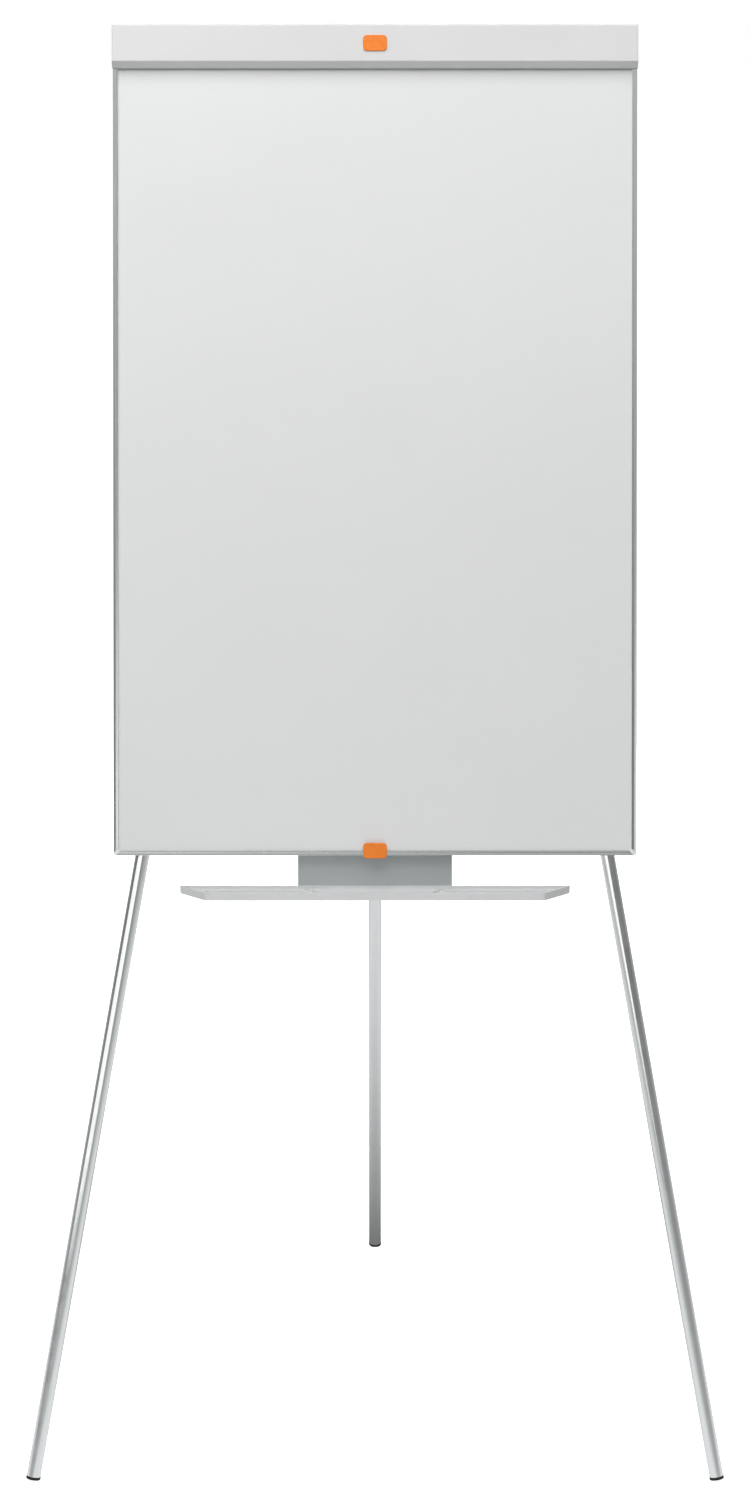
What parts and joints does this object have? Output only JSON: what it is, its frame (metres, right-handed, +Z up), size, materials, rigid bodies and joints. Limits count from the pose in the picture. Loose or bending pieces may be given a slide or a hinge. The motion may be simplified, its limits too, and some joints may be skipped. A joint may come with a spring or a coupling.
{
  "type": "flipchart easel",
  "caption": "Tripod flipchart easel with a framed dry-wipe board, hinged pad clamp over sliding pegs, pen tray and telescopic legs with lever locks.",
  "frame": {"origin": "on the floor at the middle of the footprint", "axes": "+Z up, the board faces -Y, +X to the reader's right"},
  "size_m": [0.9438, 0.8543, 1.9168],
  "materials": {
    "face_enamel": "smooth gloss dry-wipe enamel",
    "core_board": "raw fibreboard",
    "back_coat": "matt coil coating",
    "frame_metal": "silver anodised",
    "corner_plastic": "moulded, light grey",
    "clamp_coat": "satin powder coat, light grey",
    "cap_plastic": "moulded, light grey",
    "bracket_coat": "satin powder coat, mid grey",
    "tray_plastic": "moulded, light grey",
    "badge_plastic": "plain orange",
    "leg_metal": "polished tube",
    "lock_plastic": "moulded, dark grey",
    "bush_plastic": "natural nylon",
    "rubber_black": "black, matt",
    "zinc_steel": "bright zinc plate"
  },
  "bodies": {
    "board": {"whiteboard_sheet": "face_enamel", "board_core": "core_board", "back_sheet": "back_coat", "corner_bottom_left": "corner_plastic", "corner_bottom_right": "corner_plastic", "corner_top_left": "corner_plastic", "corner_top_right": "corner_plastic", "rail_left": "frame_metal", "rail_right": "frame_metal", "rail_bottom": "frame_metal", "rail_top": "frame_metal", "hook_rail": "frame_metal", "hook_rail_screws": "zinc_steel", "clamp_hinge_blocks": "zinc_steel", "clamp_pins": "zinc_steel", "clamp_springs": "zinc_steel", "head_bracket": "bracket_coat", "rear_pins": "zinc_steel", "rear_pin_clips": "zinc_steel", "pivot_studs": "zinc_steel", "pivot_spacers": "bush_plastic", "pivot_nuts": "zinc_steel", "leg_guide_left": "bracket_coat", "leg_guide_right": "bracket_coat", "board_screws": "zinc_steel", "tray_bracket": "bracket_coat", "pen_tray": "tray_plastic", "tray_screws": "zinc_steel", "badge_bottom": "badge_plastic"},
    "clamp": {"clamp_bar": "clamp_coat", "clamp_grip_strip": "rubber_black", "clamp_end_left": "cap_plastic", "clamp_end_right": "cap_plastic", "badge_top": "badge_plastic"},
    "hook_left": {"pad_hook_left": "lock_plastic"},
    "hook_right": {"pad_hook_right": "lock_plastic"},
    "leg_left_upper": {"leg_upper_left": "leg_metal", "leg_cap_left": "lock_plastic", "lock_collar_left": "lock_plastic", "lever_pin_left": "zinc_steel"},
    "leg_left_lower": {"leg_lower_left": "leg_metal", "slide_bush_left": "bush_plastic", "foot_left": "rubber_black"},
    "lever_left": {"lock_lever_left": "lock_plastic"},
    "leg_right_upper": {"leg_upper_right": "leg_metal", "leg_cap_right": "lock_plastic", "lock_collar_right": "lock_plastic", "lever_pin_right": "zinc_steel"},
    "leg_right_lower": {"leg_lower_right": "leg_metal", "slide_bush_right": "bush_plastic", "foot_right": "rubber_black"},
    "lever_right": {"lock_lever_right": "lock_plastic"},
    "leg_rear_upper": {"leg_upper_rear": "leg_metal", "leg_cap_rear": "lock_plastic", "lock_collar_rear": "lock_plastic", "lever_pin_rear": "zinc_steel"},
    "leg_rear_lower": {"leg_lower_rear": "leg_metal", "slide_bush_rear": "bush_plastic", "foot_rear": "rubber_black"},
    "lever_rear": {"lock_lever_rear": "lock_plastic"}
  },
  "joints": [
    {"name": "clamp_hinge", "type": "hinge", "parent": "board", "child": "clamp", "pos_m": [0, -0.01927, 1.90725], "axis": [-1, 0, 0], "range_deg": [0, 105], "stiffness_Nm_per_rad": 0.15, "springref_deg": -68.75},
    {"name": "hook_left_slide", "type": "slide", "parent": "board", "child": "hook_left", "axis": [1, 0, 0], "range_m": [-0.08, 0.085]},
    {"name": "hook_right_slide", "type": "slide", "parent": "board", "child": "hook_right", "axis": [1, 0, 0], "range_m": [-0.085, 0.08]},
    {"name": "leg_left_splay", "type": "hinge", "parent": "board", "child": "leg_left_upper", "pos_m": [-0.13, -0.00975, 1.84164], "axis": [0, -0.9763, 0.2164], "range_deg": [0, 10]},
    {"name": "leg_right_splay", "type": "hinge", "parent": "board", "child": "leg_right_upper", "pos_m": [0.13, -0.00975, 1.84164], "axis": [0, 0.9763, -0.2164], "range_deg": [0, 10]},
    {"name": "leg_rear_fold", "type": "hinge", "parent": "board", "child": "leg_rear_upper", "pos_m": [0, 0.01076, 1.83709], "axis": [-1, 0, 0], "range_deg": [0, 25]},
    {"name": "leg_left_telescope", "type": "slide", "parent": "leg_left_upper", "child": "leg_left_lower", "axis": [0.1736, 0.2132, 0.9615], "range_m": [0, 0.85]},
    {"name": "lock_lever_left_turn", "type": "hinge", "parent": "leg_left_upper", "child": "lever_left", "pos_m": [-0.30643, -0.20385, 0.85981], "axis": [-0.9848, 0.0376, 0.1695], "range_deg": [0, 95]},
    {"name": "leg_right_telescope", "type": "slide", "parent": "leg_right_upper", "child": "leg_right_lower", "axis": [-0.1736, 0.2132, 0.9615], "range_m": [0, 0.85]},
    {"name": "lock_lever_right_turn", "type": "hinge", "parent": "leg_right_upper", "child": "lever_right", "pos_m": [0.30643, -0.20385, 0.85981], "axis": [-0.9848, -0.0376, -0.1695], "range_deg": [0, 95]},
    {"name": "leg_rear_telescope", "type": "slide", "parent": "leg_rear_upper", "child": "leg_rear_lower", "axis": [0, -0.2164, 0.9763], "range_m": [0, 0.64]},
    {"name": "lock_lever_rear_turn", "type": "hinge", "parent": "leg_rear_upper", "child": "lever_rear", "pos_m": [0, 0.29056, 0.68126], "axis": [-1, 0, 0], "range_deg": [0, 95]}
  ]
}
